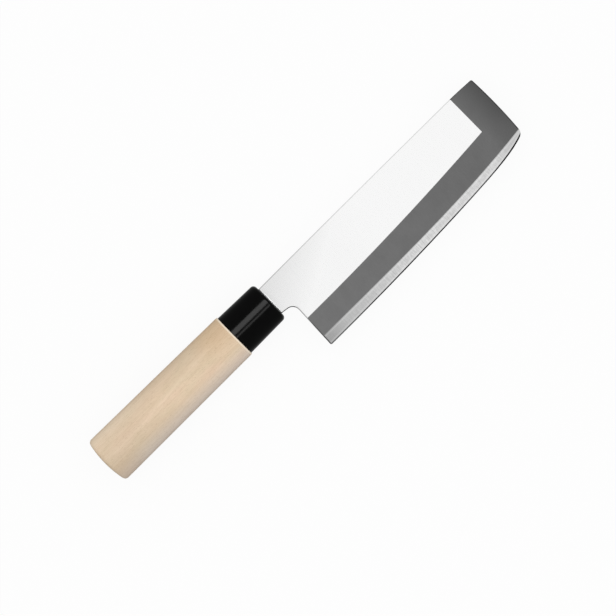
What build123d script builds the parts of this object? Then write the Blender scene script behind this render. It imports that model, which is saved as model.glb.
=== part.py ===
from build123d import *
import os

# A nakiri, the square-ended Japanese vegetable knife, lying on its left side.
# X runs from the butt to the tip, Y from the cutting edge to the spine, and Z is the
# normal of the blade's right face and points up. The pieces are built about the handle's
# axis: X is zero at the ferrule's front, and Z is zero in the blade's middle plane.
# At the end they move together, so that the origin lies under the knife's middle.

# Blade, seen from the side. Drops are measured down from the handle's axis.
blade_length = 165.5  # foot of the heel to the furthest point of the tip
neck_length = 7.3  # ferrule's front to the foot of the heel
heel_lean = 1.1  # how far the heel's top stands ahead of its foot
heel_rounding = 1.0  # radius at the foot of the heel
throat_radius = 4.8  # hollow between the neck's underside and the heel
neck_rise = 9.35  # spine's height above the axis at the ferrule
neck_drop = 9.95  # drop of the neck's underside at the ferrule
neck_flare = 1.1  # how much deeper it is at the heel
spine_crown = 10.08  # spine's height above the axis, where it starts to fall to the tip
spine_bulge = 0.2  # how far the spine bows between the neck and that place
spine_end = 9.47  # spine's height above the axis at the tip
spine_fall_length = 22.0  # length of that last fall
spine_corner_rounding = 1.1  # where the spine meets the tip's end face
tip_bow = 0.8  # how far the tip's end face bulges
tip_lean = 0.35  # how far the top of that face stands ahead of its foot
tip_corner_drop = 30.6  # where the rounded lower corner of the tip begins
tip_corner_reach = 3.8  # length of that corner along the cutting edge

# Three long lines run along the blade: the cutting edge, the strip's top, where the hard
# core comes out, and the ground band's top. Each has its drop at the heel, its rise from
# heel to tip, and a power that says how late the rise comes.
edge_drop = 43.0
edge_rise = 6.6
edge_power = 2.0
edge_lift = 4.0  # a further rise of the cutting edge, close to the tip
edge_lift_power = 16.0
strip_drop = 36.15
strip_rise = 6.25
strip_power = 3.45
band_drop = 22.2
band_rise = 7.4
band_power = 2.0
station_shares = (-0.08, 0, 0.15, 0.3, 0.45, 0.6, 0.7, 0.8, 0.87, 0.92, 0.96, 1, 1.03)

# Blade, in thickness
blade_thickness = 2.0  # between the two flats
core_thickness = 0.84  # hard middle layer
bevel_thickness = 0.32  # where the last small bevel begins
bevel_height = 0.6
edge_thickness = 0.06  # land left at the cutting edge
tip_thickness = 1.4  # the last stretch towards the tip is ground thinner
tip_facet_length = 17.4
arris_width = 0.5  # slanting chamfer that eases the flats
arris_depth = 0.3  # its depth, and how much thinner each side of the tang is

# Tang, hidden in the handle
tang_height = 13.0  # at the shoulders
tang_end_height = 8.0
tang_length = 85.0  # shoulders to the end
tang_end_rounding = 3.0
mouth_clearance = 0.2  # the thinner tang begins this far ahead of the ferrule

# Handle. Heights run across the axis in the blade's plane, thicknesses across the blade.
grip_length = 104.9
grip_height = 29.25  # at the ferrule
grip_thickness = 22.0  # at the ferrule
butt_flare = 0.76  # growth on each side towards the butt
butt_dome_radius = 65.0
butt_rounding = 2.5
grip_front_rounding = 0.5
ferrule_length = 28.8
ferrule_step = 0.68  # how far the wood stands proud of the ferrule on each side
ferrule_taper = 0.58  # narrowing on each side towards the front
ferrule_wall = 1.8
ferrule_front_wall = 2.5
ferrule_dome_radius = 250.0
ferrule_front_rounding = 2.5
ferrule_back_rounding = 0.2
tenon_clearance = 0.05
bedding_gap = 0.35  # cured adhesive on each side of the tang
bedding_recess = 0.3  # how far the adhesive stays behind the ferrule's front
overrun = 2.0  # how far a cut runs past what it cuts
nearness = 0.1  # an edge this close to a plane is taken to lie on it

tip_x = neck_length + blade_length
joint_x = -ferrule_length
butt_x = joint_x - grip_length
shoulder_x = -ferrule_front_wall
tang_end_x = shoulder_x - tang_length
flat_z = blade_thickness / 2
core_z = core_thickness / 2
tang_z = flat_z - arris_depth
pocket_z = tang_z + bedding_gap


def rising(drop, rise, power, share):
    """Height of a line along the blade, at a share of the way from heel to tip."""
    return rise * max(share, 0) ** power - drop


def edge_y(share):
    lift = rising(0, edge_lift, edge_lift_power, share)
    return rising(edge_drop, edge_rise, edge_power, share) + lift


def strip_y(share):
    return rising(strip_drop, strip_rise, strip_power, share)


def band_y(share):
    return rising(band_drop, band_rise, band_power, share)


def across(x):
    """The plane across the knife at x, drawn on in Y and Z."""
    return Plane(origin=(x, 0, 0), x_dir=(0, 1, 0), z_dir=(1, 0, 0))


def plate(face, low, high):
    """A plate with the face's outline, between two heights."""
    return extrude(Pos(0, 0, low) * face, high - low)


def blade_outline():
    """Side view of the blade and neck. It runs past the cutting edge, which the wedges make."""
    neck_back = -overrun
    heel_top = Vector(neck_length + heel_lean, -neck_drop - neck_flare)
    heel_foot = Vector(neck_length, heel_rounding - edge_drop)
    heel_end = Vector(neck_length + heel_rounding, -edge_drop)
    under_slope = neck_flare / (heel_top.X - mouth_clearance)
    neck_foot = Vector(neck_back, under_slope * (mouth_clearance - neck_back) - neck_drop)
    bottom = -edge_drop - overrun
    corner_share = 1 - tip_corner_reach / blade_length
    corner_x = tip_x - tip_corner_reach
    corner_foot = Vector(corner_x, edge_y(corner_share))
    corner_rise = edge_y(1) - edge_y(corner_share)
    corner_slope = Vector(tip_corner_reach, corner_rise)
    corner_top = Vector(tip_x - tip_bow, -tip_corner_drop)
    spine_tip = Vector(tip_x - tip_bow + tip_lean, spine_end)
    fall_start = Vector(tip_x - spine_fall_length, spine_crown)
    spine_neck = Vector(mouth_clearance, neck_rise)
    spine_middle = (spine_neck + fall_start) / 2 + Vector(0, spine_bulge)
    spine = ThreePointArc(spine_neck, spine_middle, fall_start)
    lines = [
        Line((neck_back, neck_rise), spine_neck),
        spine,
        TangentArc(fall_start, spine_tip, tangent=spine % 1),
        ThreePointArc(spine_tip, (tip_x, (spine_end - tip_corner_drop) / 2), corner_top),
        TangentArc(corner_foot, corner_top, tangent=corner_slope),
        Polyline(corner_foot, (corner_x, bottom), (heel_end.X, bottom), heel_end),
        RadiusArc(heel_foot, heel_end, -heel_rounding),
        Polyline(heel_foot, heel_top, neck_foot, (neck_back, neck_rise)),
    ]
    face = make_face(lines)
    face = fillet(face.vertices().sort_by_distance(heel_top)[0], throat_radius)
    return fillet(face.vertices().sort_by_distance(spine_tip)[0], spine_corner_rounding)


def tang_outline():
    """Side view of the tang and of the neck inside the ferrule."""
    neck = Polyline(
        (shoulder_x, -neck_drop),
        (mouth_clearance, -neck_drop),
        (mouth_clearance, neck_rise),
        (shoulder_x, neck_rise),
        close=True,
    )
    tang = make_face(tang_lines(0))
    end = tang.vertices().sort_by(Axis.X)[:2]
    return make_face(neck) + fillet(end, tang_end_rounding)


def tang_lines(gap):
    """The tang behind its shoulders, grown by a gap."""
    front_y = tang_height / 2 + gap
    end_y = tang_end_height / 2 + gap
    return Polyline(
        (shoulder_x, -front_y),
        (shoulder_x, front_y),
        (tang_end_x - gap, end_y),
        (tang_end_x - gap, -end_y),
        close=True,
    )


def slit_lines(front_x):
    """The slit in the ferrule's front wall, up to front_x."""
    low_y, high_y = -neck_drop - bedding_gap, neck_rise + bedding_gap
    return Polyline(
        (shoulder_x, low_y),
        (front_x, low_y),
        (front_x, high_y),
        (shoulder_x, high_y),
        close=True,
    )


def wedge(section):
    """A solid through the sections that a function gives at each station along the blade."""
    faces = []
    for share in station_shares:
        outline = Polyline(*section(share), close=True)
        faces.append(across(neck_length + share * blade_length) * make_face(outline))
    return loft(faces)


def cladding_section(share):
    """Right of the ground facet from the flat down to the core, and the flat far above."""
    strip, band = strip_y(share), band_y(share)
    width, depth = band - strip, flat_z - core_z
    top = spine_crown + overrun
    return [
        (strip - width, core_z - depth),
        (band + width, flat_z + depth),
        (top + width, flat_z + depth),
        (top + width, core_z - depth),
    ]


def core_section(share):
    """The core's two wide facets and its two small bevels, down to the land at the edge."""
    strip, edge = strip_y(share), edge_y(share)
    bevel = edge + bevel_height
    bevel_z, edge_z = bevel_thickness / 2, edge_thickness / 2
    high_y, high_z = 2 * strip - bevel, 2 * core_z - bevel_z
    top = spine_crown + overrun
    right = [(edge, edge_z), (bevel, bevel_z), (high_y, high_z), (top, high_z)]
    return right + [(y, -z) for y, z in reversed(right)]


def tip_facet():
    """What is ground off the right flat towards the tip."""
    start_x = tip_x - tip_facet_length
    depth = (blade_thickness - tip_thickness) / 2
    lines = Polyline(
        (start_x - tip_facet_length, flat_z + depth),
        (tip_x + tip_facet_length, flat_z - 2 * depth),
        (tip_x + tip_facet_length, flat_z + depth),
        close=True,
    )
    face = Plane.XZ * make_face(lines)
    return extrude(face, edge_drop + spine_crown, both=True)


def make_core():
    """Hard steel in the middle, from the tang's end to the cutting edge."""
    blade = plate(blade_outline(), -core_z, core_z) & wedge(core_section)
    return blade + plate(tang_outline(), -core_z, core_z)


def eased_edges(flat):
    """The edges of the flat along the spine, the neck and the heel."""
    spine_y = spine_end - spine_corner_rounding - nearness
    foot_y = heel_rounding - edge_drop - nearness
    back_x = nearness - overrun
    found = []
    for edge in flat.edges():
        box = edge.bounding_box()
        on_spine = box.min.Y > spine_y
        on_heel = box.min.Y > foot_y and back_x < box.max.X < neck_length + heel_lean
        if on_spine or on_heel:
            found.append(edge)
    return found


def make_right_cladding():
    """Soft steel on the core's right side: flat, ground to nothing towards the edge."""
    sheet = plate(blade_outline(), core_z, flat_z)
    flat = sheet.faces().sort_by(Axis.Z)[-1]
    sheet = chamfer(eased_edges(flat), arris_width, arris_depth, reference=flat)
    sheet = split(sheet, Plane.YZ.offset(mouth_clearance), keep=Keep.TOP)
    sheet = (sheet & wedge(cladding_section)) - tip_facet()
    return sheet + plate(tang_outline(), core_z, tang_z)


def oval(x, growth):
    """The handle's oval at x, grown on all sides from its size at the grip's front."""
    return across(x) * Ellipse(grip_height / 2 + growth, grip_thickness / 2 + growth)


def ferrule_growth(x):
    """How much the ferrule's outside differs at x from the grip's front."""
    return -ferrule_step - ferrule_taper * (x - joint_x) / ferrule_length


def domed(bar, end_x, radius, facing):
    """The bar with a shallow dome on the end at end_x, which faces front (1) or back (-1)."""
    ball = Pos(end_x - facing * radius, 0, 0) * Sphere(radius)
    around = Pos(end_x, 0, 0) * Box(radius, radius, radius)
    return bar - (around - ball)


def rims(shape, low_x, high_x):
    """The edges that lie wholly between two places along the knife."""
    found = []
    for edge in shape.edges():
        box = edge.bounding_box()
        if low_x <= box.min.X and box.max.X <= high_x:
            found.append(edge)
    return found


def ferrule_core(gap):
    """The space inside the ferrule, or with a gap, the wooden tenon that fills it."""
    inset = ferrule_wall + gap
    front = oval(shoulder_x, ferrule_growth(shoulder_x) - inset)
    return loft([oval(joint_x, ferrule_growth(joint_x) - inset), front], ruled=True)


def make_grip():
    """Wooden handle with its tenon and the pocket that takes the tang."""
    bar = loft([oval(butt_x, butt_flare), oval(joint_x, 0)], ruled=True)
    bar = domed(bar, butt_x, butt_dome_radius, -1)
    bar = fillet(rims(bar, butt_x - overrun, butt_x + butt_rounding + overrun), butt_rounding)
    bar = fillet(rims(bar, joint_x - nearness, joint_x + nearness), grip_front_rounding)
    pocket = plate(make_face(tang_lines(bedding_gap)), -pocket_z, pocket_z)
    return bar + ferrule_core(tenon_clearance) - pocket


def make_ferrule():
    """Resin cup over the tenon, with a slit in its front for the neck."""
    cup = loft([oval(joint_x, ferrule_growth(joint_x)), oval(0, ferrule_growth(0))], ruled=True)
    cup = domed(cup, 0, ferrule_dome_radius, 1)
    cup = fillet(rims(cup, shoulder_x, overrun), ferrule_front_rounding)
    cup = fillet(rims(cup, joint_x - nearness, joint_x + nearness), ferrule_back_rounding)
    slit = plate(make_face(slit_lines(overrun)), -pocket_z, pocket_z)
    return cup - ferrule_core(0) - slit


def make_bedding():
    """Cured adhesive that fills the pocket and the slit around the tang."""
    outline = make_face(slit_lines(-bedding_recess)) + make_face(tang_lines(bedding_gap))
    return plate(outline, -pocket_z, pocket_z) - plate(tang_outline(), -tang_z, tang_z)


right_cladding = make_right_cladding()
pieces = {
    "core_steel": make_core(),
    "cladding_right": right_cladding,
    "cladding_left": mirror(right_cladding, about=Plane.XY),
    "grip": make_grip(),
    "ferrule": make_ferrule(),
    "tang_bedding": make_bedding(),
}

whole = Compound(children=[Part(piece.wrapped) for piece in pieces.values()]).bounding_box()
middle = whole.center()
to_origin = Pos(-middle.X, -middle.Y, -whole.min.Z)

os.makedirs("parts", exist_ok=True)
for name, piece in pieces.items():
    export_step(to_origin * piece, f"parts/{name}.step")
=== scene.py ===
import math

import bmesh
import bpy
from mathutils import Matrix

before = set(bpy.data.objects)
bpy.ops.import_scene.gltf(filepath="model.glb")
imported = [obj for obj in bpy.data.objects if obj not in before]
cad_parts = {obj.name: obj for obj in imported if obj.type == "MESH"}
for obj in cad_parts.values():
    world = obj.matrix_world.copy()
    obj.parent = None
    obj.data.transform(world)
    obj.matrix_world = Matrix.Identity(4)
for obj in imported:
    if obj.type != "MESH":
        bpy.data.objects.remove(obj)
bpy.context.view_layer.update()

# The knife lies on its left side: X runs to the tip, Y to the spine, Z is up. The frame is in
# metres. Materials measure the knife in millimetres, as a maker would.
MM = 0.001

# Where things are, in millimetres. Heights are over the handle's axis.
AXIS_Y = 13.821
BLADE_Z = 11.737  # blade's middle plane
FLAT_HALF, FLAT_SLACK = 1.0, 0.003  # the flats' distance from the middle plane, and its slack
HEEL_X = -12.256  # foot of the heel
HEEL_LEAN = 1.1  # how far the heel's top stands ahead of its foot
HEEL_FOOT, HEEL_TOP = -42.0, -11.05  # their heights
BLADE_LENGTH = 165.5
TIP_X = 153.256  # furthest point of the tip's end
TIP_MIDDLE, TIP_BOW = -7.76, 0.0016  # height of that point, and how the end falls back from it
TIP_GRIND = 0.895  # share of the blade's length where the tip's facet meets the spine
BEVEL_BACK, BEVEL_TIP = 0.74, 0.95  # height of the small bevel along the edge
BEVEL_GROWS = (0.83, 0.93)  # shares of the blade's length between which it grows
ARRIS, SIDE = 0.1, 0.5  # a face turned from the flat by more than this is an arris, a side
JOINT_X = -48.356  # where the wood meets the ferrule
STREAK = (-145.5, 7.0, -0.147)  # pale streak in the wood: x, its height there, its slope
HEART = (-34.0, -46.0)  # y and z of the tree's heart, far below and beside the stick
RING_SWAY, RING_SCALE = 9.0, 0.55  # how far the rings wander, and how close they lie

# Long lines of the blade: drop below the handle's axis at the heel, rise to the tip, power
STRIP_LINE = (36.15, 6.25, 3.45)
EDGE_LINE = (43.0, 6.6, 2.0)
EDGE_LIFT = (0.0, 4.0, 16.0)

# Picture
PICTURE_MIDDLE = (-6.91, -4.58)  # point of the blade's plane in the picture's middle
PICTURE_TURN = 44.55  # degrees that the knife is turned in the picture
PICTURE_SIDE = 355.7  # millimetres across
LENS, SENSOR = 200.0, 36.0

# Lamps: radiance, width, depth and height in metres, tilt towards the spine in degrees
KEY = (2.05, 0.9, 0.7, 1.6, 12.0)
WIDE_STRIP = (11.2, 2.4, 0.31, 1.0, 9.9)
NARROW_STRIP = (7.2, 2.4, 0.09, 1.0, -9.0)
SKY = 0.82  # strength of the white world as a light
FLOOR_HALF = 4.0  # metres
FLOOR_WHITE = 0.92  # share of plain white in the floor as it is seen; the rest shows the shadow


def grey(level):
    """A neutral colour from its screen level, 0 to 255."""
    return colour(level, level, level)


def colour(red, green, blue):
    """A colour from its screen levels, 0 to 255."""
    return tuple(linear(level / 255) for level in (red, green, blue)) + (1.0,)


def linear(level):
    return level / 12.92 if level <= 0.04045 else ((level + 0.055) / 1.055) ** 2.4


# Tones of each surface
FLAT = {
    "by the neck": grey(228),
    "middle": grey(246),
    "front": grey(248),
    # painted shade on the flat beside the heel
    "shade by the heel": grey(205),
    "marks": grey(190),
}
BAND = {
    "heel": grey(120),
    "front": grey(109),
    "patches": grey(88),
    "dark marks": grey(96),
    "pale marks": grey(124),
    "by the tip": grey(100),
    "tip": grey(86),
    # painted shade along the heel and along the tip's end
    "shade by the heel": grey(84),
    # painted shade along the tip's end
    "shade by the tip's end": grey(56),
}
# the eased arrises carry a painted dark reflection; the upright sides keep the steel's own tone
EDGE_TONES_AND_REFLECTIONS = {
    "spine by the neck": grey(178),
    "spine": grey(219),
    "spine at the tip": grey(62),
    "throat's top": grey(50),
    "throat's foot": grey(160),
    "sides": grey(165),
    "marks": grey(120),
}
STRIP = {
    "heel": grey(142),
    "back": grey(195),
    "front": grey(235),
    "marks": grey(172),
    "mottle": grey(176),
    "by the tip": grey(190),
    "borders": grey(245),
    "feather": grey(125),
    # painted shade along the heel
    "shade by the heel": grey(74),
}
# the bevel is painted dark as a reflection
BEVEL_REFLECTION = {"heel": grey(105), "middle": grey(15), "paler": grey(75)}
CORE_SIDES = grey(150)
WOOD = {
    "pale": colour(235, 211, 184),
    "patches": colour(226, 207, 178),
    "blush": colour(236, 208, 184),
    "rings": colour(200, 172, 138),
    "end grain": colour(196, 166, 130),
    "off the streak": colour(203, 184, 158),
    "by the ferrule": colour(210, 178, 138),
    "rear": colour(200, 182, 158),
    # painted light on the upper side of the rear
    "rear's lit top": colour(252, 236, 216),
    # painted shade on the lower side
    "underside": colour(219, 209, 202),
    "rear's foot": colour(190, 160, 124),
    # painted shade along the oval's widest sides
    "ridge_shade": colour(170, 142, 116),
    # painted highlight on the front edge by the ferrule
    "rim_highlight": colour(250, 238, 218),
    "fibres": colour(230, 223, 213),
    "pores": colour(190, 174, 154),
}
RESIN = {"dark": grey(1), "patches": grey(3)}
ADHESIVE = {"dark": colour(34, 30, 26), "pale": colour(52, 46, 38)}
FLOOR = {"bounced": grey(160), "seen": grey(255)}
WHITE = grey(255)


# Nodes


def add(tree, kind, inputs=None, **settings):
    """A node with its settings, and its inputs given as values or as sockets to link from."""
    made = tree.nodes.new(kind)
    for name, value in settings.items():
        setattr(made, name, value)
    for name, value in (inputs or {}).items():
        feed(tree, made.inputs[name], value)
    return made


def feed(tree, socket, value):
    if isinstance(value, bpy.types.NodeSocket):
        tree.links.new(value, socket)
    else:
        socket.default_value = value


def maths(tree, operation, *values, clamp=False):
    inputs = dict(enumerate(values))
    return add(tree, "ShaderNodeMath", inputs, operation=operation, use_clamp=clamp).outputs[0]


def plus(tree, first, second):
    return maths(tree, "ADD", first, second)


def minus(tree, first, second):
    return maths(tree, "SUBTRACT", first, second)


def times(tree, first, second):
    return maths(tree, "MULTIPLY", first, second)


def over(tree, value, limit):
    """1 where value is over limit, else 0."""
    return maths(tree, "GREATER_THAN", value, limit)


def mixed(tree, share, first, second, blend="MIX"):
    """The first colour where share is 0, the second, or what blend makes of both, where it is 1."""
    # The mix node has a set of sockets for each kind of value. These are its colours.
    inputs = {0: share, 6: first, 7: second}
    return add(tree, "ShaderNodeMix", inputs, data_type="RGBA", blend_type=blend).outputs[2]


def ranged(tree, value, low, high, start=0.0, end=1.0, smooth=False):
    """value carried from low..high to start..end, and held at both ends."""
    kind = "SMOOTHSTEP" if smooth else "LINEAR"
    inputs = {"Value": value, "From Min": low, "From Max": high, "To Min": start, "To Max": end}
    return add(tree, "ShaderNodeMapRange", inputs, interpolation_type=kind).outputs[0]


def between(tree, value, low, full, fading, high):
    """0 outside low and high, 1 from full to fading, and ramps in between."""
    return times(tree, ranged(tree, value, low, full), ranged(tree, value, high, fading))


def separated(tree, vector):
    return add(tree, "ShaderNodeSeparateXYZ", {0: vector}).outputs


def scaled(tree, vector, scale):
    inputs = {0: vector, "Scale": scale}
    return add(tree, "ShaderNodeVectorMath", inputs, operation="SCALE").outputs[0]


def stretched(tree, position, along, across, up):
    """Position with its three axes scaled, which draws a pattern out along the small ones."""
    inputs = {0: position, 1: (along, across, up)}
    return add(tree, "ShaderNodeVectorMath", inputs, operation="MULTIPLY").outputs[0]


def speckle(tree, position, scale=1.0, detail=2.0, roughness=0.5, distortion=0.0):
    inputs = {
        "Vector": position,
        "Scale": scale,
        "Detail": detail,
        "Roughness": roughness,
        "Distortion": distortion,
    }
    return add(tree, "ShaderNodeTexNoise", inputs).outputs["Fac"]


def bump(tree, height, strength, distance):
    inputs = {"Height": height, "Strength": strength, "Distance": distance * MM}
    return add(tree, "ShaderNodeBump", inputs).outputs["Normal"]


def position_in_mm(tree):
    return scaled(tree, add(tree, "ShaderNodeTexCoord").outputs["Object"], 1 / MM)


def face_direction(tree):
    """X, Y and Z of the way that the face looks."""
    return separated(tree, add(tree, "ShaderNodeNewGeometry").outputs["True Normal"])


def new_group(name, inputs=(), outputs=()):
    """A node group with named float or vector sockets. Gives the tree, what comes in and what
    goes out."""
    tree = bpy.data.node_groups.new(name, "ShaderNodeTree")
    for title, kind in inputs:
        tree.interface.new_socket(title, in_out="INPUT", socket_type="NodeSocket" + kind)
    for title, kind in outputs:
        tree.interface.new_socket(title, in_out="OUTPUT", socket_type="NodeSocket" + kind)
    come = tree.nodes.new("NodeGroupInput").outputs
    go = tree.nodes.new("NodeGroupOutput").inputs
    return tree, come, go


def place(tree, group, inputs=None):
    """The outputs of a group placed in the tree."""
    return add(tree, "ShaderNodeGroup", inputs, node_tree=group).outputs


def new_material(name):
    """A material with one Principled shader. Gives the material, its tree and the shader."""
    material, tree = bare_material(name)
    shader = add(tree, "ShaderNodeBsdfPrincipled")
    add(tree, "ShaderNodeOutputMaterial", {"Surface": shader.outputs[0]})
    return material, tree, shader


def bare_material(name):
    material = bpy.data.materials.new(name)
    material.use_nodes = True
    material.node_tree.nodes.clear()
    return material, material.node_tree


# Effects that several finishes share


def blade_place_group():
    """Where a point of the blade is: share of the way from heel to tip, height over the axis,
    distance from the middle plane, how far its face is turned away from the flat, and how far
    the point is from the heel and from the tip's end."""
    titles = ("Share", "Height", "Depth", "Turned", "From Heel", "From Tip")
    tree, _, go = new_group("blade place", outputs=[(title, "Float") for title in titles])
    x, y, z = separated(tree, position_in_mm(tree))
    height = minus(tree, y, AXIS_Y)
    upright = maths(tree, "ABSOLUTE", face_direction(tree)[2])
    heel = ranged(tree, height, HEEL_FOOT, HEEL_TOP, HEEL_X, HEEL_X + HEEL_LEAN)
    off_middle = maths(tree, "POWER", minus(tree, height, TIP_MIDDLE), 2.0)
    tip_end = minus(tree, TIP_X, times(tree, off_middle, TIP_BOW))
    share = maths(tree, "DIVIDE", minus(tree, x, HEEL_X), BLADE_LENGTH)
    feed(tree, go["Share"], share)
    feed(tree, go["Height"], height)
    feed(tree, go["Depth"], maths(tree, "ABSOLUTE", minus(tree, z, BLADE_Z)))
    feed(tree, go["Turned"], minus(tree, 1.0, upright))
    feed(tree, go["From Heel"], minus(tree, x, heel))
    feed(tree, go["From Tip"], minus(tree, tip_end, x))
    return tree


def blade_line_group():
    """Height of one of the blade's long lines, at a share of the way from heel to tip."""
    titles = ("Share", "Drop", "Rise", "Power")
    sockets = [(title, "Float") for title in titles]
    tree, come, go = new_group("blade line", sockets, [("Height", "Float")])
    climbed = maths(tree, "POWER", maths(tree, "MAXIMUM", come["Share"], 0.0), come["Power"])
    feed(tree, go["Height"], minus(tree, times(tree, climbed, come["Rise"]), come["Drop"]))
    return tree


def line_height(tree, share, numbers):
    inputs = dict(zip(("Drop", "Rise", "Power"), numbers))
    return place(tree, blade_line, {"Share": share, **inputs})["Height"]


def brush_group():
    """Marks of a belt or stone drawn across the blade, fine ones over coarse ones."""
    inputs = [("Position", "Vector"), ("Coarse", "Float")]
    tree, come, go = new_group("brush marks", inputs, [("Marks", "Float"), ("Fine", "Float")])
    here = come["Position"]
    fine = speckle(tree, stretched(tree, here, 7.0, 0.35, 3.0), detail=3.0, roughness=0.6)
    coarse = speckle(tree, stretched(tree, here, 1.3, 0.09, 1.0), detail=3.0, roughness=0.55)
    inputs = {0: come["Coarse"], 2: fine, 3: coarse}
    both = add(tree, "ShaderNodeMix", inputs, data_type="FLOAT").outputs[0]
    feed(tree, go["Marks"], both)
    feed(tree, go["Fine"], fine)
    return tree


def cloud_group():
    """Soft uneven patches, some large and some small."""
    inputs = [("Position", "Vector"), ("Size", "Float")]
    tree, come, go = new_group("clouds", inputs, [("Patches", "Float")])
    here = scaled(tree, come["Position"], maths(tree, "DIVIDE", 1.0, come["Size"]))
    patches = speckle(tree, here, detail=4.0, roughness=0.5, distortion=0.4)
    feed(tree, go["Patches"], ranged(tree, patches, 0.3, 0.7, smooth=True))
    return tree


def patches_of(tree, position, size):
    """Clouds about size millimetres across."""
    return place(tree, clouds, {"Position": position, "Size": size})["Patches"]


# Steel


def cladding_finish():
    """Satin flat, dark ground band and tip, painted shade along the heel and the tip's end, and
    eased edges painted dark as a reflection.
    """
    material, tree, shader = new_material("satin_cladding")
    here = position_in_mm(tree)
    at = place(tree, blade_place)
    marks = place(tree, brush, {"Position": here, "Coarse": 0.4})
    patches = patches_of(tree, here, 9.0)

    on_flat = over(tree, at["Depth"], FLAT_HALF - FLAT_SLACK)
    face = mixed(tree, on_flat, band_tone(tree, at, marks, patches), flat_tone(tree, at, marks))
    on_edges = over(tree, at["Turned"], ARRIS)
    tone = mixed(tree, on_edges, face, edge_tone_and_reflection(tree, at, marks))
    feed(tree, shader.inputs["Base Color"], tone)

    shader.inputs["Metallic"].default_value = 1.0
    satin = times(tree, on_flat, ranged(tree, marks["Marks"], 0.3, 0.7, 0.2, 0.32))
    off_flat = minus(tree, 1.0, on_flat)
    ground = times(tree, off_flat, ranged(tree, patches, 0.0, 1.0, 0.36, 0.44))
    feed(tree, shader.inputs["Roughness"], plus(tree, satin, ground))
    feed(tree, shader.inputs["Normal"], bump(tree, marks["Fine"], 0.08, 0.02))
    return material


def flat_tone(tree, at, marks):
    """Bright satin, a little greyer by the neck, with painted shade on the flat beside the heel."""
    share, height = at["Share"], at["Height"]
    lower = ranged(tree, height, 7.0, -22.0)
    brighter = maths(tree, "ADD", times(tree, share, 3.3), lower, clamp=True)
    tone = mixed(tree, brighter, FLAT["by the neck"], FLAT["middle"])
    tone = mixed(tree, ranged(tree, share, 0.25, 0.42), tone, FLAT["front"])
    # painted shade on the flat beside the heel, below the throat
    below_throat = ranged(tree, height, -12.0, -14.0)
    heel_shade = times(tree, ranged(tree, at["From Heel"], 0.6, 1.3, 0.4, 0.0), below_throat)
    tone = mixed(tree, heel_shade, tone, FLAT["shade by the heel"])
    return mixed(tree, ranged(tree, marks["Marks"], 0.3, 0.7, 0.0, 0.06), tone, FLAT["marks"])


def band_tone(tree, at, marks, patches):
    """The band ground along the edge and the facet ground across the tip, which is darker."""
    share = at["Share"]
    tone = mixed(tree, ranged(tree, share, 0.0, 0.75), BAND["heel"], BAND["front"])
    tone = mixed(tree, times(tree, patches, 0.12), tone, BAND["patches"])
    dark_marks = ranged(tree, marks["Fine"], 0.35, 0.65, 0.0, 0.22)
    tone = mixed(tree, dark_marks, tone, BAND["dark marks"])
    pale_marks = ranged(tree, marks["Marks"], 0.35, 0.65, 0.22, 0.0)
    tone = mixed(tree, pale_marks, tone, BAND["pale marks"])
    tone = mixed(tree, ranged(tree, share, 0.9, 0.935, 0.0, 0.9), tone, BAND["by the tip"])
    more_above = ranged(tree, at["Height"], -28.0, -12.0, 0.4, 1.0)
    tone = mixed(tree, ranged(tree, share, 0.935, 0.99, 0.0, more_above), tone, BAND["tip"])
    # painted shade along the heel and along the tip's end
    heel_shade = ranged(tree, at["From Heel"], 0.45, 0.8, 1.0, 0.0)
    tone = mixed(tree, heel_shade, tone, BAND["shade by the heel"])
    tip_end_shade = ranged(tree, at["From Tip"], 0.35, 0.8, 0.85, 0.0)
    return mixed(tree, tip_end_shade, tone, BAND["shade by the tip's end"])


def edge_tone_and_reflection(tree, at, marks):
    """Eased arrises of the spine and the throat, painted dark as a reflection, darkest at the
    throat's top and where the tip's facet meets the spine, and the sides that stand upright.
    """
    share, height = at["Share"], at["Height"]
    # painted dark reflection along the spine and the throat
    spine = ranged(tree, share, 0.0, 0.4)
    spine = mixed(tree, spine, EDGE_TONES_AND_REFLECTIONS["spine by the neck"], EDGE_TONES_AND_REFLECTIONS["spine"])
    at_tip = ranged(tree, share, TIP_GRIND - 0.001, TIP_GRIND + 0.001)
    spine = mixed(tree, at_tip, spine, EDGE_TONES_AND_REFLECTIONS["spine at the tip"])
    up_throat = ranged(tree, height, -14.5, -12.5)
    throat = mixed(tree, up_throat, EDGE_TONES_AND_REFLECTIONS["throat's foot"], EDGE_TONES_AND_REFLECTIONS["throat's top"])
    arris = mixed(tree, over(tree, height, 0.0), throat, spine)
    on_marks = ranged(tree, marks["Fine"], 0.3, 0.7, 0.0, 0.4)
    sides = mixed(tree, on_marks, EDGE_TONES_AND_REFLECTIONS["sides"], EDGE_TONES_AND_REFLECTIONS["marks"])
    return mixed(tree, over(tree, at["Turned"], SIDE), arris, sides)


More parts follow.
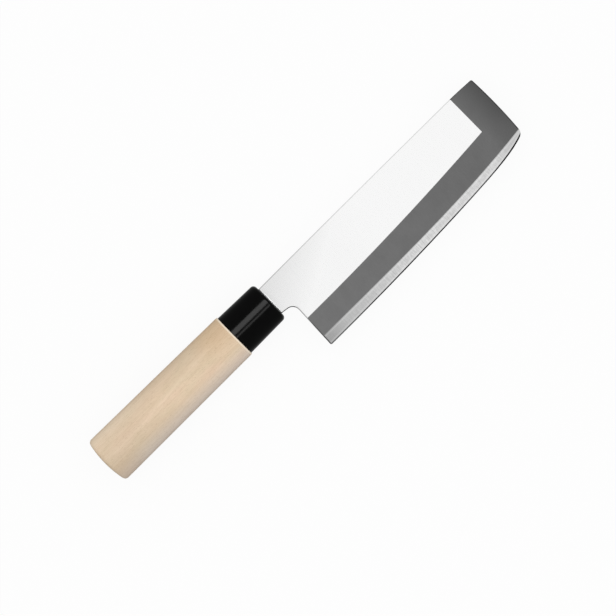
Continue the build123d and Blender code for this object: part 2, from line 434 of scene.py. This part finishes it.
def core_finish():
    """Hard steel: a brushed strip, brightest along its front half, painted shade along the heel,
    and a small bevel painted dark as a reflection.
    """
    material, tree, shader = new_material("brushed_core")
    here = position_in_mm(tree)
    at = place(tree, blade_place)
    marks = place(tree, brush, {"Position": here, "Coarse": 0.55})
    share, height = at["Share"], at["Height"]

    edge = plus(tree, line_height(tree, share, EDGE_LINE), line_height(tree, share, EDGE_LIFT))
    over_edge = minus(tree, height, edge)
    under_top = minus(tree, line_height(tree, share, STRIP_LINE), height)
    tone = strip_tone(tree, at, marks, patches_of(tree, here, 1.4), over_edge, under_top)
    bevel_top = ranged(tree, share, *BEVEL_GROWS, BEVEL_BACK, BEVEL_TIP)
    on_bevel = ranged(tree, minus(tree, over_edge, bevel_top), -0.06, 0.06, 1.0, 0.0)
    # painted dark reflection on the bevel
    tone = mixed(tree, on_bevel, tone, bevel_reflection_tone(tree, share))
    on_sides = over(tree, at["Turned"], ARRIS)
    feed(tree, shader.inputs["Base Color"], mixed(tree, on_sides, tone, CORE_SIDES))

    shader.inputs["Metallic"].default_value = 1.0
    feed(tree, shader.inputs["Roughness"], ranged(tree, marks["Fine"], 0.3, 0.7, 0.24, 0.4))
    feed(tree, shader.inputs["Normal"], bump(tree, marks["Fine"], 0.12, 0.02))
    return material


def strip_tone(tree, at, marks, mottle, over_edge, under_top):
    """The bare core: brush marks, a pale line along each border, a soft edge to the band, and
    painted shade along the heel.
    """
    share = at["Share"]
    tone = mixed(tree, ranged(tree, share, 0.0, 0.1), STRIP["heel"], STRIP["back"])
    tone = mixed(tree, ranged(tree, share, 0.1, 0.46), tone, STRIP["front"])
    on_marks = ranged(tree, marks["Marks"], 0.36, 0.64, 0.0, 0.7)
    tone = mixed(tree, on_marks, tone, STRIP["marks"])
    tone = mixed(tree, times(tree, mottle, 0.3), tone, STRIP["mottle"])
    tone = mixed(tree, ranged(tree, share, 0.84, 0.94, 0.0, 0.75), tone, STRIP["by the tip"])
    by_top = between(tree, under_top, 0.4, 0.7, 1.0, 1.5)
    by_edge = between(tree, over_edge, 0.8, 1.0, 1.5, 2.0)
    borders = maths(tree, "MAXIMUM", by_top, by_edge)
    borders = times(tree, borders, ranged(tree, share, 0.0, 0.3, 0.14, 0.22))
    tone = mixed(tree, borders, tone, STRIP["borders"])
    feather = ranged(tree, under_top, 0.0, 0.7, 0.4, 0.0, smooth=True)
    tone = mixed(tree, feather, tone, STRIP["feather"])
    # painted shade along the heel
    heel_shade = ranged(tree, at["From Heel"], 0.5, 0.9, 1.0, 0.0)
    return mixed(tree, heel_shade, tone, STRIP["shade by the heel"])


def bevel_reflection_tone(tree, share):
    """The honed bevel, painted dark as a reflection, less dark at the heel and on a stretch before
    the tip.
    """
    tone = mixed(tree, ranged(tree, share, 0.0, 0.35), BEVEL_REFLECTION["heel"], BEVEL_REFLECTION["middle"])
    return mixed(tree, between(tree, share, 0.58, 0.7, 0.76, 0.85), tone, BEVEL_REFLECTION["paler"])


# Wood


def wood_finish():
    """Pale plain magnolia: soft growth rings, fine long fibres and small pores."""
    material, tree, shader = new_material("magnolia_wood")
    here = position_in_mm(tree)
    fibres = speckle(tree, stretched(tree, here, 0.10, 3.2, 3.2), detail=4.0, roughness=0.65)
    pores = speckle(tree, stretched(tree, here, 0.55, 6.0, 6.0), detail=1.0)
    end_grain = maths(tree, "ABSOLUTE", face_direction(tree)[0])
    end_grain = ranged(tree, end_grain, 0.75, 0.97, smooth=True)

    tone = grown_tone(tree, here, end_grain)
    tone = broad_tints(tree, here, tone)
    tone = edge_tints_and_painted_light(tree, here, end_grain, tone)
    lines = ranged(tree, fibres, 0.42, 0.66, 0.0, 0.4)
    tone = mixed(tree, lines, tone, WOOD["fibres"], blend="MULTIPLY")
    specks = ranged(tree, pores, 0.62, 0.72, 0.0, 0.45)
    tone = mixed(tree, specks, tone, WOOD["pores"], blend="MULTIPLY")
    feed(tree, shader.inputs["Base Color"], tone)

    feed(tree, shader.inputs["Roughness"], ranged(tree, fibres, 0.3, 0.7, 0.5, 0.66))
    shader.inputs["Specular IOR Level"].default_value = 0.3
    relief = minus(tree, fibres, ranged(tree, pores, 0.66, 0.74, 0.0, 0.6))
    feed(tree, shader.inputs["Normal"], bump(tree, relief, 0.25, 0.06))
    return material


def grown_tone(tree, here, end_grain):
    """The wood as it grew: soft patches, a warm blush, and rings that show most on the end."""
    patches = patches_of(tree, stretched(tree, here, 0.45, 1.0, 1.0), 11.0)
    blush = speckle(tree, stretched(tree, here, 0.03, 0.09, 0.09), detail=1.0)
    tone = mixed(tree, patches, WOOD["pale"], WOOD["patches"])
    tone = mixed(tree, ranged(tree, blush, 0.45, 0.7, 0.0, 0.5), tone, WOOD["blush"])
    strength = ranged(tree, end_grain, 0.0, 1.0, 0.3, 0.75)
    on_rings = ranged(tree, growth_rings(tree, here), 0.35, 0.65, 0.0, strength)
    tone = mixed(tree, on_rings, tone, WOOD["rings"])
    return mixed(tree, times(tree, end_grain, 0.3), tone, WOOD["end grain"])


def growth_rings(tree, here):
    """Rings round the tree's heart. It lay so far off that they run nearly flat, and they sway
    a little along the stick."""
    _, y, z = separated(tree, here)
    sway = speckle(tree, stretched(tree, here, 0.012, 0.04, 0.04))
    sway = times(tree, minus(tree, sway, 0.5), RING_SWAY)
    across = add(tree, "ShaderNodeCombineXYZ", {1: y, 2: z}).outputs[0]
    inputs = {0: across, 1: (0.0, *HEART)}
    reach = add(tree, "ShaderNodeVectorMath", inputs, operation="DISTANCE").outputs["Value"]
    years = times(tree, plus(tree, reach, sway), RING_SCALE)
    outwards = add(tree, "ShaderNodeCombineXYZ", {0: years}).outputs[0]
    return speckle(tree, outwards, roughness=0.6)


def broad_tints(tree, here, tone):
    """Darker off the pale streak, warmer by the ferrule, and greyer at the rear, with painted light
    on the rear's upper side.
    """
    x, y, _ = separated(tree, here)
    height = minus(tree, y, AXIS_Y)
    start, rise, slope = STREAK
    streak = plus(tree, times(tree, minus(tree, x, start), slope), AXIS_Y + rise)
    off_streak = maths(tree, "ABSOLUTE", minus(tree, y, streak))
    off_streak = ranged(tree, off_streak, 1.0, 17.0, 0.0, 0.55, smooth=True)
    tone = mixed(tree, off_streak, tone, WOOD["off the streak"])
    by_ferrule = ranged(tree, x, behind(30.0), behind(8.0), 0.0, 0.45, smooth=True)
    by_ferrule = times(tree, by_ferrule, ranged(tree, height, -6.0, 4.0))
    tone = mixed(tree, by_ferrule, tone, WOOD["by the ferrule"])
    rear = ranged(tree, x, behind(48.0), behind(88.0), 0.0, 0.27, smooth=True)
    rear = times(tree, rear, ranged(tree, height, -11.0, -6.0, 0.3, 1.0))
    # painted light on the rear's upper side
    rear_tone_with_painted_light = mixed(tree, ranged(tree, height, 8.0, 12.5), WOOD["rear"], WOOD["rear's lit top"])
    return mixed(tree, rear, tone, rear_tone_with_painted_light)


def edge_tints_and_painted_light(tree, here, end_grain, tone):
    """Painted shade on the lower side, a browner foot at the rear, painted shade along the oval's
    widest sides, and a painted highlight on the wood's front edge by the ferrule.
    """
    x, y, z = separated(tree, here)
    height = minus(tree, y, AXIS_Y)
    # painted shade on the lower side
    tone = mixed(tree, ranged(tree, height, -6.0, -13.0, 0.0, 0.55), tone, WOOD["underside"])
    foot = ranged(tree, x, behind(78.0), behind(98.0), 0.0, 0.28, smooth=True)
    foot = times(tree, foot, ranged(tree, height, -4.0, -9.0))
    tone = mixed(tree, foot, tone, WOOD["rear's foot"])
    # painted shade along the oval's widest sides, where the wood turns from the light
    off_ridge = maths(tree, "ABSOLUTE", minus(tree, z, BLADE_Z))
    ridge_shade = ranged(tree, off_ridge, 2.5, 4.8, 0.2, 0.0, smooth=True)
    ridge_shade = times(tree, ridge_shade, minus(tree, 1.0, end_grain))
    tone = mixed(tree, ridge_shade, tone, WOOD["ridge_shade"])
    # painted highlight on the front edge by the ferrule
    return mixed(tree, ranged(tree, x, behind(1.2), behind(0.6), 0.0, 0.8), tone, WOOD["rim_highlight"])


def behind(distance):
    """X of a place on the wood this far behind the ferrule."""
    return JOINT_X - distance


# Resin and adhesive


def resin_finish():
    """Black moulded resin with a soft gloss and faint flow marks."""
    material, tree, shader = new_material("black_resin")
    here = position_in_mm(tree)
    patches = patches_of(tree, here, 5.0)
    fine = speckle(tree, here, scale=2.5, detail=3.0)
    tone = mixed(tree, patches, RESIN["dark"], RESIN["patches"])
    feed(tree, shader.inputs["Base Color"], tone)
    feed(tree, shader.inputs["Roughness"], ranged(tree, patches, 0.0, 1.0, 0.11, 0.15))
    shader.inputs["Specular IOR Level"].default_value = 0.045
    feed(tree, shader.inputs["Normal"], bump(tree, fine, 0.05, 0.02))
    return material


def adhesive_finish():
    """Cured adhesive, dark and slightly wavy, seen only in the slit round the neck."""
    material, tree, shader = new_material("cured_adhesive")
    waves = speckle(tree, position_in_mm(tree), scale=1.6)
    tone = mixed(tree, waves, ADHESIVE["dark"], ADHESIVE["pale"])
    feed(tree, shader.inputs["Base Color"], tone)
    feed(tree, shader.inputs["Roughness"], ranged(tree, waves, 0.3, 0.7, 0.3, 0.5))
    feed(tree, shader.inputs["Normal"], bump(tree, waves, 0.4, 0.1))
    return material


def dress(name, material):
    """The node takes this finish in every slot it has."""
    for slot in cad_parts[name].material_slots:
        slot.material = material


# Studio


def make_camera():
    """Looks straight down on the blade, turned as in the photograph."""
    lens = bpy.data.cameras.new("camera")
    lens.lens, lens.sensor_width = LENS, SENSOR
    camera = linked("camera", lens)
    x, y = PICTURE_MIDDLE
    rise = PICTURE_SIDE * LENS / SENSOR + BLADE_Z + FLAT_HALF
    camera.location = (x * MM, y * MM, rise * MM)
    camera.rotation_euler = (0, 0, math.radians(-PICTURE_TURN))
    bpy.context.scene.camera = camera


def linked(name, data):
    """An object with this data, put in the scene."""
    made = bpy.data.objects.new(name, data)
    bpy.context.scene.collection.objects.link(made)
    return made


def softbox(name, numbers, shown_to):
    """An area lamp over the knife that lights only one of its nodes. It stands off towards the
    spine, or towards the edge where its tilt is negative, and faces the knife."""
    radiance, width, depth, height, tilt = numbers
    lamp = bpy.data.lights.new(name, "AREA")
    lamp.shape = "RECTANGLE"
    lamp.size, lamp.size_y = width, depth
    lamp.energy = 4 * width * depth * radiance
    made = linked(name, lamp)
    lean = math.radians(tilt)
    made.location = (0, height * math.tan(lean), height)
    made.rotation_euler = (-lean, 0, 0)
    only = bpy.data.collections.new(name + " shows on")
    only.objects.link(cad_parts[shown_to])
    made.light_linking.receiver_collection = only
    return made


def make_lamps():
    """One softbox for the wood, and two strips that show only as reflections in the ferrule."""
    softbox("key", KEY, "grip")
    for name, numbers in (("wide strip", WIDE_STRIP), ("narrow strip", NARROW_STRIP)):
        strip = softbox(name, numbers, "ferrule")
        strip.visible_diffuse = False
        strip.visible_camera = False


def make_floor():
    """A wide pale floor that keeps a faint shadow."""
    mesh = bpy.data.meshes.new("floor")
    shape = bmesh.new()
    bmesh.ops.create_grid(shape, x_segments=1, y_segments=1, size=FLOOR_HALF)
    shape.to_mesh(mesh)
    shape.free()
    mesh.materials.append(floor_finish())
    floor = linked("floor", mesh)


def floor_finish():
    """Plain white where it is seen, but for a share that takes the shadow. Greyer as a light."""
    material, tree = bare_material("pale_floor")
    seen = seen_directly(tree)
    tone = mixed(tree, seen, FLOOR["bounced"], FLOOR["seen"])
    paint = add(tree, "ShaderNodeBsdfDiffuse", {"Color": tone}).outputs[0]
    white = add(tree, "ShaderNodeEmission", {"Color": WHITE, "Strength": 1.0}).outputs[0]
    inputs = {0: times(tree, seen, FLOOR_WHITE), 1: paint, 2: white}
    shader = add(tree, "ShaderNodeMixShader", inputs).outputs[0]
    add(tree, "ShaderNodeOutputMaterial", {"Surface": shader})
    return material


def make_world():
    """A white sky, at full strength where it is seen and a little less as a light."""
    world = bpy.data.worlds.new("studio")
    bpy.context.scene.world = world
    world.use_nodes = True
    tree = world.node_tree
    tree.nodes.clear()
    strength = ranged(tree, seen_directly(tree), 0.0, 1.0, SKY, 1.0)
    sky = add(tree, "ShaderNodeBackground", {"Color": WHITE, "Strength": strength})
    add(tree, "ShaderNodeOutputWorld", {"Surface": sky.outputs[0]})


def seen_directly(tree):
    """1 for rays from the camera, a reflection or a glass, and 0 for the light that bounces."""
    rays = add(tree, "ShaderNodeLightPath").outputs
    seen = maths(tree, "MAXIMUM", rays["Is Camera Ray"], rays["Is Glossy Ray"])
    return maths(tree, "MAXIMUM", seen, rays["Is Transmission Ray"])


make_camera()
bpy.context.scene.view_settings.view_transform = "Standard"

blade_place = blade_place_group()
blade_line = blade_line_group()
brush = brush_group()
clouds = cloud_group()

steel = cladding_finish()
dress("cladding_right", steel)
dress("cladding_left", steel)
dress("core_steel", core_finish())
dress("grip", wood_finish())
dress("ferrule", resin_finish())
dress("tang_bedding", adhesive_finish())

make_floor()
make_world()
make_lamps()
